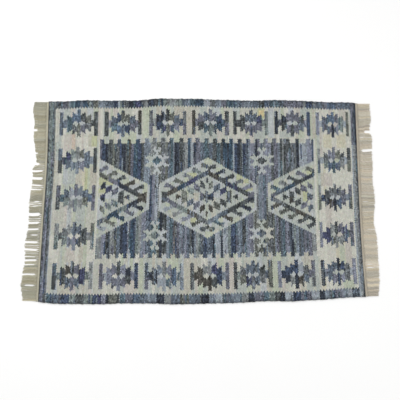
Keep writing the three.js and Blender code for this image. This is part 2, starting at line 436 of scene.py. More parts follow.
def lightRuns(key, mix):
    # A light rag for each pick, in runs of a few picks. Each key gives other runs.
    draw = np.random.default_rng(cloth["seed"] * 1000 + key)
    names = lightMixes[mix].split()
    runs = np.zeros(cloth["picks"] + 1, int)
    start = 0
    while start <= cloth["picks"]:
        length = draw.integers(*lightRun)
        runs[start:start + length] = ragNumber[names[draw.integers(len(names))]]
        start += length
    return runs


def pickOf(x):
    share = (x + cloth["length"] / 2) / cloth["length"]
    return np.clip(np.rint(share * cloth["picks"]).astype(int), 0, cloth["picks"])


def layLight(chart, where, x, key, mix):
    chart[where] = lightRuns(key, mix)[pickOf(x[where])]


def layGround(chart, x, y):
    # Light ground of the frame: its rags change above and below each row of stars
    rows = np.array(ground["rows"])
    level = (y[..., None] < rows).sum(-1)
    column = np.where(x < field["left"], 1, np.where(x > field["right"], 3, 2))
    for side in (1, 2, 3):
        for row in range(len(rows) + 1):
            mix = "right" if side == 3 else "frame"
            layLight(chart, (column == side) & (level == row), x, side * 10 + row, mix)
    reach = starShape["bar"][0]
    nearest = np.min([np.abs(x - star["x"]) - reach * star["wide"] for star in stars], axis=0)
    for sign in (1, -1):
        layLight(chart, (nearest > 0) & (y * sign > ground["between"]), x, 50 + sign, "frame")


def layBorder(chart, x, y):
    tooth = border["toothDepth"] * np.where(pickOf(x) // border["tooth"] % 2 == 0, 1, -1)
    above = y > border["top"] + tooth
    below = y < border["bottom"] + tooth
    chart[above] = stripe(x, border["topBlocks"])[above]
    chart[below] = stripe(x, border["bottomBlocks"])[below]
    for name, where in (("left", x < border["left"]), ("right", x > border["right"])):
        for half, rows in (("Upper", y > 0), ("Lower", y <= 0)):
            chosen = where & rows
            chart[chosen] = stripe(x, border[name + half])[chosen]
    corner = (x > border["right"]) & (y > border["rightCorner"])
    chart[corner] = stripe(x, border["rightTop"])[corner]


def layField(chart, x, y):
    shades = np.where(y > field["split"], stripe(x, field["above"]), stripe(x, field["below"]))
    for left, right in field["betweenParts"]:
        part = (x > left) & (x < right) & (np.abs(y) < field["betweenHalf"])
        shades = np.where(part, stripe(x, field["between"]), shades)
    within = (x > field["left"]) & (x < field["right"])
    body = within & (y < field["top"]) & (y > field["bottom"])
    half, crown = field["toothWidth"] / 2, field["crown"]
    for left in field["teethAbove"]:
        end = field["toothTop"] - crown + crown * np.abs(x - left - half) / half
        body |= within & (x > left) & (x < left + 2 * half) & (y > 0) & (y < end)
    light = np.zeros(x.shape, bool)
    for left in field["teethBelow"]:
        end = field["bottom"] - crown + crown * np.abs(x - left - half) / half
        light |= (x > left) & (x < left + 2 * half) & (y < end)
    body |= within & (y < 0) & (y > field["toothBottom"])
    body &= ~light
    chart[body] = shades[body]


def layStar(chart, x, y, star, draw):
    across = (x - star["x"]) / star["wide"]
    tipEdge, tipTop = starShape["tip"]
    innerEdge, innerFrom, innerTo = starShape["inner"]
    outerEdge, outerFrom, outerTo = starShape["outer"]
    linkEdge, linkTop = starShape["link"]
    barEdge, barTop = starShape["bar"]
    reach, widest, widestHalf, waist = starShape["eye"]
    eyeRags = star["eye"].split()
    for half, name in ((1, "upper"), (-1, "lower")):
        names = star[name].split()
        for side in (-1, 1):
            u = across * side
            v = (y - star["y"]) * half
            here = (u >= 0) & (v >= 0)
            inner, outer, bar = names[4:] if side > 0 else names[2::-1]
            link = star["links"].split()[side > 0]
            shift = draw.uniform(-1, 1, 7) * starShape["uneven"]
            # From where to where, the height at both, and the rag
            steps = [
                (0, tipEdge, tipTop + shift[0], tipTop, names[3]),
                (tipEdge, innerEdge, innerFrom + shift[1], innerTo + shift[2], inner),
                (innerEdge, outerEdge, outerFrom + shift[3], outerTo + shift[4], outer),
                (outerEdge, linkEdge, linkTop + shift[5], linkTop, link),
                (linkEdge, barEdge, barTop + shift[6], barTop + shift[6], bar),
            ]
            for start, end, low, high, rag in steps:
                top = low + (high - low) * (u - start) / (end - start)
                chart[here & (u >= start) & (u < end) & (v < top)] = ragNumber[rag]
            rising = waist + (widestHalf - waist) * u / widest
            falling = widestHalf * (reach - u) / (reach - widest)
            chart[here & (v < np.minimum(rising, falling))] = ragNumber[eyeRags[side > 0]]


def layMedallion(chart, x, y, number, medallion):
    shape = medallionShape
    left = max(field["left"], medallion["x"] - medallion["halfWidth"])
    right = min(field["right"], medallion["x"] + medallion["halfWidth"])
    clip = (x > left) & (x < right)
    for place, quarter in enumerate(medallion["quarters"]):
        u = (x - medallion["x"]) * quarter["side"]
        v = (y - medallion["y"]) * quarter["half"] * shape["height"] / medallion["halfHeight"]
        here = clip & (u >= 0) & (v >= 0)
        level = v + shape["slope"] * u
        sideEdge = medallion["halfWidth"] - shape["side"]
        key = 100 + 30 * number + 5 * place  # no other part of the chart has this key or the next two
        layLight(chart, here & (level < shape["height"]), x, key, "medallion")
        layLight(chart, here & (level < shape["outline"]) & (u < sideEdge), x, key + 1, "medallion")
        inner = here & (u < sideEdge)
        names = quarter["band"].split()
        reach = shape["bandTop"] / shape["slope"]
        part = np.clip((u / reach * len(names)).astype(int), 0, len(names) - 1)
        shades = numbersOf(names)[part]
        band = inner & (level < shape["bandTop"]) & (level > shape["bandFoot"])
        chart[band] = shades[band]
        hookRags = quarter["hooks"].split()
        for step, name in enumerate(hookRags):
            foot = step * shape["hookPitch"] + quarter["shift"]
            rise = shape["bandTop"] - shape["slope"] * foot
            hook = inner & inside(u - foot, v - rise, shape["hook"]) & (level > shape["bandTop"] - 1)
            if step == len(hookRags) - 1:
                hook &= v < shape["knotTop"]
            chart[hook] = ragNumber[name]
        layLight(chart, here & (level < shape["bandFoot"]), x, key + 2, "medallion")
        shifted = u + quarter["lean"]
        raised = v + (medallion["y"] - medallion["leafY"]) * quarter["half"]
        leafClip = clip & (shifted >= 0) & (raised >= 0)
        for corners, name in zip(shape["leaves"], quarter["leaves"].split()):
            chart[leafClip & inside(shifted, raised, corners)] = ragNumber[name]


def layCross(chart, x, y, cross):
    u = np.abs(x - cross["x"])
    v = np.abs(y - cross["y"])
    holeWide, holeHigh = crossShape["hole"]
    light = np.zeros(x.shape, bool)
    for corners in crossShape["parts"]:
        light |= inside(u, v, corners)
    names = cross["light"].split()
    wide = crossShape["third"]
    third = np.clip(((x - cross["x"] + 1.5 * wide) / wide).astype(int), 0, len(names) - 1)
    shades = numbersOf(names)[third]
    shades = np.where(y - cross["y"] > crossShape["flower"], ragNumber[cross["top"]], shades)
    chart[light] = shades[light]
    chart[u / holeWide + v / holeHigh < 1] = ragNumber[cross["hole"]]


def layBlocks(chart, x, y):
    light = chart >= firstLight
    for left, right, bottom, top, name in lightBlocks:
        chart[light & (x > left) & (x < right) & (y > bottom) & (y < top)] = ragNumber[name]


def chartAt(x, y):
    # Rag number of the bead at each place on the loom
    chart = np.zeros(x.shape, int)
    layGround(chart, x, y)
    layField(chart, x, y)
    draw = np.random.default_rng(cloth["seed"])
    for star in stars:
        layStar(chart, x, y, star, draw)
    for number, medallion in enumerate(medallions):
        layMedallion(chart, x, y, number, medallion)
    for cross in crosses:
        layCross(chart, x, y, cross)
    layBlocks(chart, x, y)
    lineLeft = (x > field["left"] - field["line"]) & (x <= field["left"])
    lineRight = (x >= field["right"]) & (x < field["right"] + field["line"])
    line = (lineLeft | lineRight) & (y < field["toothTop"]) & (y > field["toothBottom"])
    chart[line] = ragNumber["chalk"]
    layBorder(chart, x, y)
    return chart


def strayPicks(chart, y, draw):
    # Some dark picks are woven with another rag for part of the width
    names = cloth["strayRags"].split()
    places = cloth["strayPlaces"]
    cells = (places + 1, chart.shape[0] // 2 + 1)
    chance = draw.random(cells)
    other = numbersOf(names)[draw.integers(0, len(names), cells)]
    offset = draw.uniform(0, 1, cells[1])
    pick = np.arange(chart.shape[0])[:, None] // 2 + np.zeros(chart.shape, int)
    cell = np.clip(((y / cloth["width"] + 0.5) * places + offset[pick]).astype(int), 0, places)
    stray = (chance[cell, pick] < cloth["strays"]) & (chart < firstLight)
    return np.where(stray, other[cell, pick], chart)


def ragColours(along, across, seed):
    # Linear colour of each bead of a grid: its rag, then what sets its pick and the bead itself apart
    x = (along - 0.5) * cloth["length"]
    y = (across - 0.5) * cloth["width"]
    draw = np.random.default_rng(seed)
    chart = strayPicks(chartAt(x, y), y, draw)
    rough = draw.normal(size=chart.shape)
    lightFrom, lighter = cloth["lightFace"]
    darkFrom, darker = cloth["darkFace"]
    turned = np.where(rough > lightFrom, lighter, 0.0) - np.where(rough < darkFrom, darker, 0.0)
    places = cloth["places"]
    picks = draw.normal(size=(chart.shape[0], places + 1))
    own, last = cloth["streakParts"]
    picks = own * picks + last * np.roll(picks, 1, axis=0)
    cell = np.clip((across * places).astype(int), 0, places - 1)
    share = across * places - cell
    row = np.arange(chart.shape[0])[:, None]
    streak = picks[row, cell] * (1 - share) + picks[row, cell + 1] * share
    light = 1 + flecks[chart] * (cloth["bead"] * rough + turned + cloth["streak"] * streak)
    inward = cloth["width"] / 2 - np.abs(y) + cloth["edgeWander"] * streak  # mm from the selvedge
    slope = cloth["edgeSlope"]
    # Painted shade along the selvedges, fading inwards
    paintedEdgeShade = np.clip(slope - slope * inward / cloth["edgeWidth"], 0, 1)
    light = light * (1 - (1 - cloth["edgeShade"]) * paintedEdgeShade)
    colour = tones[chart] * np.clip(light, *cloth["lightRange"])[..., None]
    hue = draw.normal(size=chart.shape + (3,)) * cloth["hue"]
    return keepColour(colour * (1 + hue))


# The two ends of the rug, and which way each points
endSigns = {"left": -1, "right": 1}


# Outline of the cloth, read from its CAD node
def readEdges():
    found = np.array([tuple(v.co)[:2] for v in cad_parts["cloth"].data.vertices])
    found = np.unique(np.round(found, 5), axis=0)
    corner = 0.57  # only the selvedges and their corners lie further out
    front = found[found[:, 1] < -corner]
    back = found[found[:, 1] > corner]
    front = front[np.argsort(front[:, 0])]
    back = back[np.argsort(back[:, 0])]
    middle = found[np.abs(found[:, 1]) < corner]
    ends = {}
    for name, sign in endSigns.items():
        last = 0 if sign < 0 else -1
        line = np.vstack([middle[middle[:, 0] * sign > 0], front[last:][:1], back[last:][:1]])
        ends[name] = line[np.argsort(line[:, 1])]
    return front[:, 1], back[:, 1], ends


frontEdge, backEdge, clothEnds = readEdges()


def endLine(name, y):
    line = clothEnds[name]
    return np.interp(y, line[:, 1], line[:, 0])


def onCloth(along, across):
    # Place in metres from the shares of the length and the width
    front = np.interp(along, np.linspace(0, 1, len(frontEdge)), frontEdge)
    back = np.interp(along, np.linspace(0, 1, len(backEdge)), backEdge)
    y = front + across * (back - front)
    # The outermost rows wander a little, each side in its own way
    side = np.sign(across - 0.5)
    wander = sum(height * np.sin(pace * along + shift * side + start)
                 for pace, shift, start, height in cloth["raggedWaves"])
    y = y + side * wander * cloth["ragged"] * mm * np.abs(2 * across - 1) ** cloth["raggedPower"]
    left = endLine("left", y)
    return left + along * (endLine("right", y) - left), y


# A rug that has been rolled lies slightly uneven on the floor, most of all along its edges
unevenness = {
    "wave": 0.7,  # mm, half the height of the waves
    "flutter": 0.8,  # mm, the same for those along the selvedges
    "from": 0.45,  # m from the middle line to where these start
    "width": 0.17,  # m over which they grow
}


def lift(x, y):
    # The paces of the waves are in radians to the metre
    wave = np.sin(2.3 * x + 1.1 * np.sin(2.0 * y) + 0.4) * np.cos(3.1 * y - 0.9 * x + 0.6)
    edge = np.clip((np.abs(y) - unevenness["from"]) / unevenness["width"], 0, 1) ** 2
    flutter = np.sin(7.5 * x + 2.0 * np.sign(y)) * np.sin(3.1 * x + 1.0)
    return (unevenness["wave"] * (1 + wave) + unevenness["flutter"] * edge * (1 + flutter)) * mm


def triangleMesh(name, points, triangles):
    mesh = bpy.data.meshes.new(name)
    mesh.vertices.add(len(points))
    mesh.vertices.foreach_set("co", np.asarray(points, np.float32).ravel())
    mesh.loops.add(len(triangles) * 3)
    mesh.loops.foreach_set("vertex_index", np.asarray(triangles, np.int32).ravel())
    mesh.polygons.add(len(triangles))
    mesh.polygons.foreach_set("loop_start", np.arange(0, len(triangles) * 3, 3, dtype=np.int32))
    mesh.update(calc_edges=True)
    mesh.shade_smooth()
    ob = bpy.data.objects.new(name, mesh)
    bpy.context.scene.collection.objects.link(ob)
    return ob


def setTint(mesh, corners):
    tint = mesh.color_attributes.new("tint", "BYTE_COLOR", "CORNER")
    full = np.ones((len(corners), 4), np.float32)
    full[:, :3] = corners
    tint.data.foreach_set("color", full.ravel())


def setUv(mesh, name, corners):
    uv = mesh.uv_layers.new(name=name)
    uv.data.foreach_set("uv", np.asarray(corners, np.float32).ravel())


def beadTriangles(n, m, upward):
    # Each square is split so that a bead is four triangles round its top
    i, j = np.meshgrid(np.arange(n), np.arange(m), indexing="ij")
    a = i * (m + 1) + j
    b = a + m + 1
    c = b + 1
    d = a + 1
    even = ((i + j) % 2 == 0)[..., None]
    first = np.where(even, np.stack([a, b, d], -1), np.stack([b, c, a], -1)).reshape(-1, 3)
    second = np.where(even, np.stack([c, d, b], -1), np.stack([d, a, c], -1)).reshape(-1, 3)
    triangles = np.vstack([first, second])
    return triangles if upward else triangles[:, [0, 2, 1]]


def ladder(top, under):
    # Triangles of the wall between two edges with their own numbers of points, seen from outside
    triangles = []
    a = 0
    b = 0
    while a < len(top) - 1 or b < len(under) - 1:
        topNext = (a + 1) / (len(top) - 1) if a < len(top) - 1 else 2
        underNext = (b + 1) / (len(under) - 1) if b < len(under) - 1 else 2
        if topNext <= underNext:
            triangles.append((top[a], under[b], top[a + 1]))
            a += 1
        else:
            triangles.append((top[a], under[b], under[b + 1]))
            b += 1
    return triangles


# What all woven pieces share
weaving = {
    "uneven": 0.22,  # how much lower some beads are, as a share of the relief
    "underRelief": 0.7,  # relief of the underside against the face's
    "edgeTop": 0.66,  # height of the outermost rows of both faces, as shares of the thickness
    "edgeUnder": 0.24,
    "edgeRows": 3,  # rows over which a piece swells from there
}
# Flat map for the finish: the face takes most of it, then the walls and the underside
flatMap = {
    "margin": 0.01,
    "wide": 0.98,
    "faceFoot": 0.18,
    "faceHigh": 0.81,
    "underHigh": 0.13,
    "wallFoot": 0.15,
    "wallTop": 0.168,
    "wallStep": 0.245,
    "wallWide": 0.235,
    "cellEdge": 0.04,  # share of a yarn's cell that is left free on each side
}


def sheetFace(sheet, place, coloursOf, draw, above):
    # One face of a sheet: its points, their colours and their rows and columns
    n, m = (sheet["picks"], sheet["warps"]) if above else (sheet["underPicks"], sheet["underWarps"])
    thick, relief = sheet["thickness"] * mm, sheet["relief"] * mm
    along, across = np.meshgrid(np.linspace(0, 1, n + 1), np.linspace(0, 1, m + 1), indexing="ij")
    i, j = np.meshgrid(np.arange(n + 1), np.arange(m + 1), indexing="ij")
    high = (i + j) % 2 == 0  # every other crossing is a bead
    x, y = place(along, across)
    bead = high * 1.0 - draw.uniform(0, weaving["uneven"], high.shape)
    if above:
        full = thick - relief + relief * bead
        rest = thick * weaving["edgeTop"]
    else:
        full = relief * weaving["underRelief"] * (1 - bead)
        rest = thick * weaving["edgeUnder"]
    inward = np.minimum(np.minimum(i, n - i), np.minimum(j, m - j))
    z = lift(x, y) + rest + (full - rest) * np.sqrt(np.clip(inward / weaving["edgeRows"], 0, 1))
    swell = np.where(high, 1, -1) * sheet["selvedge"] * mm * above
    y = y + swell * ((j == m) * 1.0 - (j == 0) * 1.0)
    colours = coloursOf(along, across, sheet["seed"] + above)
    return np.stack([x, y, z], -1).reshape(-1, 3), colours.reshape(-1, 3), i.ravel(), j.ravel()


def wovenSheet(name, sheet, place, coloursOf):
    # Closed sheet of beads: a fine face above, a coarser one below and a wall all round
    n, m, p, q = sheet["picks"], sheet["warps"], sheet["underPicks"], sheet["underWarps"]
    draw = np.random.default_rng(sheet["seed"])
    topPoints, topTint, topI, topJ = sheetFace(sheet, place, coloursOf, draw, True)
    underPoints, underTint, underI, underJ = sheetFace(sheet, place, coloursOf, draw, False)
    count = len(topPoints)
    upper = beadTriangles(n, m, True)
    lower = beadTriangles(p, q, False) + count
    topEdge = np.arange(count).reshape(n + 1, m + 1)
    underEdge = np.arange(len(underPoints)).reshape(p + 1, q + 1) + count
    sides = [
        (topEdge[:, 0], underEdge[:, 0]),
        (topEdge[-1], underEdge[-1]),
        (topEdge[::-1, -1], underEdge[::-1, -1]),
        (topEdge[0, ::-1], underEdge[0, ::-1]),
    ]
    walls = [ladder(top, under) for top, under in sides]
    wall = np.array([triangle for side in walls for triangle in side])
    triangles = np.vstack([upper, lower, wall])
    ob = triangleMesh(name, np.vstack([topPoints, underPoints]), triangles)
    beadOf = triangles[:, 0]  # the first corner of each triangle is its bead
    setTint(ob.data, np.repeat(np.vstack([topTint, underTint])[beadOf], 3, axis=0))
    # Places on the weave, in beads
    weave = np.column_stack([np.concatenate([topI, underI]), np.concatenate([topJ, underJ])])
    weaveCorners = weave[triangles]
    start = len(upper) + len(lower)
    weaveCorners[start:] = weave[beadOf[start:]][:, None]
    setUv(ob.data, "weave", weaveCorners.reshape(-1, 2))
    # Places on the flat map
    alongShare = np.concatenate([topI / n, underI / p])
    acrossShare = np.concatenate([topJ / m, underJ / q])
    onTop = np.arange(len(weave)) < count
    margin = flatMap["margin"]
    foot = np.where(onTop, flatMap["faceFoot"], margin)
    high = np.where(onTop, flatMap["faceHigh"], flatMap["underHigh"])
    spots = np.column_stack([margin + flatMap["wide"] * alongShare, foot + high * acrossShare])
    flat = spots[triangles]
    for number, side in enumerate(walls):
        rows = slice(start, start + len(side))
        corner = triangles[rows]
        step = (acrossShare if number % 2 else alongShare)[corner]
        flat[rows, :, 0] = margin + flatMap["wallStep"] * number + flatMap["wallWide"] * step
        flat[rows, :, 1] = np.where(onTop[corner], flatMap["wallTop"], flatMap["wallFoot"])
        start += len(side)
    setUv(ob.data, "OFBake", flat.reshape(-1, 2))
    print(name, len(triangles), "triangles")
    return ob


# Headings: a narrow cotton band woven across each end
heading = {
    "width": 12.0,  # mm
    "gap": 0.35,  # mm from the cloth
    "picks": 6,
    "warps": 300,
    "underPicks": 3,
    "underWarps": 120,
    "thickness": 4.3,
    "relief": 1.0,
    "selvedge": 0.3,
    "colours": {"left": (178, 174, 155), "right": (176, 168, 152)},
    "bead": 0.07,  # how much its beads differ
    "fade": (0.05, 37, 2),  # height, pace and start of its slow change along the end
    "seed": 21,
}


def makeHeading(side):
    low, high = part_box("heading_" + side)
    inner, outer = heading["gap"] * mm, (heading["gap"] + heading["width"]) * mm
    first, last = (outer, inner) if side == "left" else (inner, outer)
    fade, pace, start = heading["fade"]

    def place(along, across):
        y = low.y + across * (high.y - low.y)
        return endLine(side, y) + endSigns[side] * (first + along * (last - first)), y

    def colours(along, across, seed):
        draw = np.random.default_rng(seed)
        rough = heading["bead"] * draw.normal(size=along.shape)
        light = 1 + rough + fade * np.sin(across * pace + start)
        return keepColour(linear(heading["colours"][side]) * light[..., None])

    return wovenSheet("heading_" + side + "_cotton", heading, place, colours)


# Fringes: cords of three cotton yarns, tied off beside the heading
fringe = {
    "pitch": 6.3,  # mm from cord to cord
    "root": 12.8,  # mm from the end of the cloth
    "yarns": 3,
    "yarnRadius": 1.15,
    "spread": (2.1, 0.75),  # how far the yarns wind out, sideways and upwards
    "twist": 26,  # mm for one turn
    "twistUneven": 0.15,
    "rings": 20,
    "sides": 5,
    "clear": 0.2,  # mm between the floor and a cord
    "least": 0.05,  # mm between the floor and a yarn, wherever it goes
    "rise": 1.2,  # mm that the roots lie higher
    "arch": 1.0,  # mm that a cord arches up, at the most
    "stray": 2.1,  # mm that a bunch wanders
    "loose": 0.6,  # mm that a cord wanders in its bunch
    "strayPlaces": (-650, 700, 45),  # first, last and step of the places that wander differently
    "opening": 0.12,  # share of the length over which a gap opens
    "closing": 0.2,
    "near": 22,  # mm to either side that count for the usual length of the CAD fringe
    "uneven": 3.5,  # mm between the tips of neighbours
    "fray": 4.0,  # mm between the tips of the yarns of a cord
    "parting": (0.85, 0.35),  # where the yarns of a tip start to part, and how much further they go
    "thinning": (0.93, 0.45),  # where they start to thin, and by how much
    "colours": {"left": (184, 180, 158), "right": (209, 201, 183)},
    "locks": 110,  # places along the fringe that differ in light and warmth, and by how much
    "lockLight": 0.12,
    "lockWarmth": 0.03,
    "yarnLight": 0.07,
    "yarnHue": 0.015,
    "middle": -11.5,  # mm from the origin to the middle of the loom
    "seed": 5,
}
# The turn of yarn round the root of each cord
knot = {
    "rings": 14,
    "turns": 1.4,
    "start": 1.2,  # mm beyond the root
    "length": 2.8,
    "round": (0.6, 0.9),  # mm further out than the yarns, sideways and upwards
    "radius": 0.9,
    # Painted shade on the knots: the light left on them against the yarns
    "shade": {"left": 0.94, "right": 0.78},
}
cordHeight = (fringe["yarnRadius"] + fringe["spread"][1] + fringe["clear"]) * mm  # of its middle line
# Gaps between the bunches: place on the loom and width in mm, then the shares of the length where
# they open and close
fringeGaps = {
    "left": [
        (-508, 9, 0.12, 0.62), (-444, 10, 0.10, 1), (-386, 7, 0.20, 1), (-360, 12, 0.10, 1),
        (-338, 7, 0.20, 1), (-322, 4, 0.35, 1), (-298, 13, 0.08, 1), (-274, 4, 0.20, 1),
        (-254, 13, 0.08, 1), (-210, 8, 0.15, 0.55), (-175, 11, 0.10, 1), (-136, 13, 0.10, 1),
        (-112, 4, 0.20, 1), (-86, 20, 0.08, 1), (-34, 8, 0.25, 0.60), (-10, 9, 0.20, 0.50),
        (65, 9, 0.10, 1), (90, 10, 0.15, 1), (134, 16, 0.08, 1), (160, 3, 0.60, 1),
        (180, 13, 0.10, 1), (222, 16, 0.55, 1), (292, 12, 0.70, 1), (436, 14, 0.65, 1),
    ],
    "right": [
        (-405, 6, 0.10, 0.45), (-388, 4, 0.05, 0.40), (-178, 3, 0.30, 1), (-10, 4, 0.05, 0.35),
        (308, 16, 0.15, 1), (389, 5, 0.05, 0.25), (424, 18, 0.45, 1),
    ],
}


def reachOf(side):
    # How far the CAD fringe goes out at each y, in steps of a millimetre, without its gaps
    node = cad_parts["fringe_" + side]
    corners = [v.co for v in node.data.vertices]
    tree = BVHTree.FromPolygons(corners, [list(face.vertices) for face in node.data.polygons])
    low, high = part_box(node.name)
    sign = endSigns[side]
    outside = 1.2  # m from the middle, beyond the tips
    places = np.arange(low.y + mm, high.y - mm, mm)
    reach = []
    for y in places:
        start = Vector((sign * outside, y, (low.z + high.z) / 2))
        hit = tree.ray_cast(start, Vector((-sign, 0, 0)))
        reach.append(abs(hit[0].x - endLine(side, y)))
    near = fringe["near"]
    usual = [np.median(reach[max(0, k - near):k + near + 1]) for k in range(len(reach))]
    return places, np.array(usual)


def smoothStep(share):
    share = np.clip(share, 0, 1)
    return share * share * (3 - 2 * share)


def tipShare(s, start):
    # 0 before the start of a tip, then up to 1 at its end
    return np.clip((s - start) / (1 - start), 0, 1)


def cordRoots(side, low, high):
    # Each cord: its y at the root and, for the gaps below and above it, the shift when the gap is open
    # and the shares of the length where the gap opens and closes
    first = (low / mm - fringe["middle"], 0, 1, 1)
    last = (high / mm - fringe["middle"], 0, 1, 1)
    rows = [first] + fringeGaps[side] + [last]
    pitch = fringe["pitch"]
    cords = []
    for (start, startWide, *below), (end, endWide, *above) in zip(rows, rows[1:]):
        many = max(1, round((end - start - (startWide + endWide) / 2) / pitch))
        spacing = (end - start) / many
        for k in range(many):
            share = k / (many - 1) if many > 1 else 0.5
            up = (1 - share) * (startWide + pitch - spacing) / 2
            down = -share * (endWide + pitch - spacing) / 2
            cords.append((start + (k + 0.5) * spacing + fringe["middle"], up, *below, down, *above))
    return np.array(cords).T


def tubes(lines, radii, sides, reference):
    # Closed round tubes along many lines at once: points and triangles
    count, rings = lines.shape[:2]
    tangent = np.gradient(lines, axis=1)
    tangent /= np.linalg.norm(tangent, axis=2, keepdims=True)
    across = np.cross(tangent, reference)
    across /= np.linalg.norm(across, axis=2, keepdims=True)
    up = np.cross(across, tangent)
    angle = 2 * np.pi * np.arange(sides) / sides
    out = across[:, :, None] * np.cos(angle)[:, None] + up[:, :, None] * np.sin(angle)[:, None]
    points = lines[:, :, None] + out * radii[:, :, None, None]
    points = np.concatenate([points.reshape(count, -1, 3), lines[:, :1], lines[:, -1:]], axis=1)
    r, k = np.meshgrid(np.arange(rings - 1), np.arange(sides), indexing="ij")
    a = (r * sides + k).ravel()
    b = (r * sides + (k + 1) % sides).ravel()
    c = a + sides
    d = b + sides
    ring = np.arange(sides)
    following = (ring + 1) % sides
    last = (rings - 1) * sides
    foot = np.full(sides, rings * sides)
    one = np.vstack([
        np.column_stack([a, c, d]),
        np.column_stack([a, d, b]),
        np.column_stack([foot, ring, following]),
        np.column_stack([foot + 1, last + following, last + ring]),
    ])
    each = points.shape[1]
    triangles = (one[None] + np.arange(count)[:, None, None] * each).reshape(-1, 3)
    # Along and around each tube, for its ply lines, with the seam at a whole turn
    place = np.zeros((each, 2))
    place[:rings * sides, 0] = np.repeat(np.arange(rings), sides) / (rings - 1)
    place[:rings * sides, 1] = np.tile(ring / sides, rings)
    place[rings * sides + 1, 0] = 1
    corners = place[one]
    wrap = corners[:, :, 1].max(1) - corners[:, :, 1].min(1) > 0.5
    corners[wrap, :, 1] = np.where(corners[wrap, :, 1] < 0.25, 1, corners[wrap, :, 1])
    return points.reshape(-1, 3), triangles, corners


def cordLines(side, draw):
    # Middle line of each cord: the y of its root, how far from the end of the cloth each of its points
    # is, and the points
    places, reach = reachOf(side)
    rootMm, *gaps = cordRoots(side, places[0], places[-1])
    rootY = rootMm * mm
    count = len(rootY)
    root = fringe["root"] * mm
    s = np.linspace(0, 1, fringe["rings"])
    tip = np.interp(rootY, places, reach) + draw.uniform(-1, 0.3, count) * fringe["uneven"] * mm
    along = root + s * (tip - root)[:, None]
    y = rootY[:, None] + np.zeros(len(s))
    for shift, opens, closes in (gaps[:3], gaps[3:]):
        opened = smoothStep((s - opens[:, None]) / fringe["opening"])
        opened *= 1 - smoothStep((s - closes[:, None]) / fringe["closing"])
        y = y + shift[:, None] * mm * opened
    # Each wanders to one side, in a bow and in an S
    nodes = np.arange(*fringe["strayPlaces"]) * mm
    for wave in (s ** 1.5, 0.5 * np.sin(np.pi * s), 0.3 * np.sin(2 * np.pi * s)):
        bunch = np.interp(rootY, nodes, draw.normal(size=len(nodes))) * fringe["stray"] * mm
        loose = draw.normal(size=count) * fringe["loose"] * mm
        y = y + (bunch + loose)[:, None] * wave
    x = endLine(side, rootY)[:, None] + endSigns[side] * along
    arch = draw.uniform(0, fringe["arch"], count)[:, None] * mm * np.sin(np.pi * s)
    rise = fringe["rise"] * mm * (1 - s) ** 4
    z = lift(x, y) * (1 - s) ** 2 + cordHeight + rise + arch
    return rootY, along, np.stack([x, y, z], -1)


def yarnLines(side, along, cords, draw):
    # The yarns of each cord, wound round its middle line, with their radii
    count = len(cords)
    s = np.linspace(0, 1, fringe["rings"])
    wide, tall = np.array(fringe["spread"]) * mm
    partFrom, part = fringe["parting"]
    thinFrom, thin = fringe["thinning"]
    phase = draw.uniform(0, 2 * np.pi, count)[:, None]
    turn = draw.normal(1, fringe["twistUneven"], count)[:, None] * 2 * np.pi * along
    turn /= fringe["twist"] * mm
    yarns = []
    for yarn in range(fringe["yarns"]):
        angle = phase + turn + 2 * np.pi * yarn / fringe["yarns"]
        further = 1 + part * tipShare(s, partFrom) * draw.uniform(0, 1, (count, 1))
        short = draw.uniform(0, 1, (count, 1)) * fringe["fray"] * mm * s ** 6
        offset = [-endSigns[side] * short, wide * further * np.cos(angle), tall * np.sin(angle)]
        radii = fringe["yarnRadius"] * mm * (1 - thin * tipShare(s, thinFrom))
        yarns.append((cords + np.stack(offset, -1), radii * draw.uniform(0.9, 1.1, (count, 1))))
    return yarns


def knotLines(side, rootY, draw):
    t = np.linspace(0, 1, knot["rings"])
    wide, tall = (np.array(fringe["spread"]) + knot["round"]) * mm
    angle = 2 * np.pi * knot["turns"] * t + draw.uniform(0, 2 * np.pi, (len(rootY), 1))
    reach = (fringe["root"] + knot["start"] + knot["length"] * t) * mm
    x = endLine(side, rootY)[:, None] + endSigns[side] * reach
    height = lift(x, rootY[:, None]) + cordHeight + fringe["rise"] * mm
    line = np.stack([x, rootY[:, None] + wide * np.cos(angle), height + tall * np.sin(angle)], -1)
    return line, np.full(angle.shape, knot["radius"] * mm)


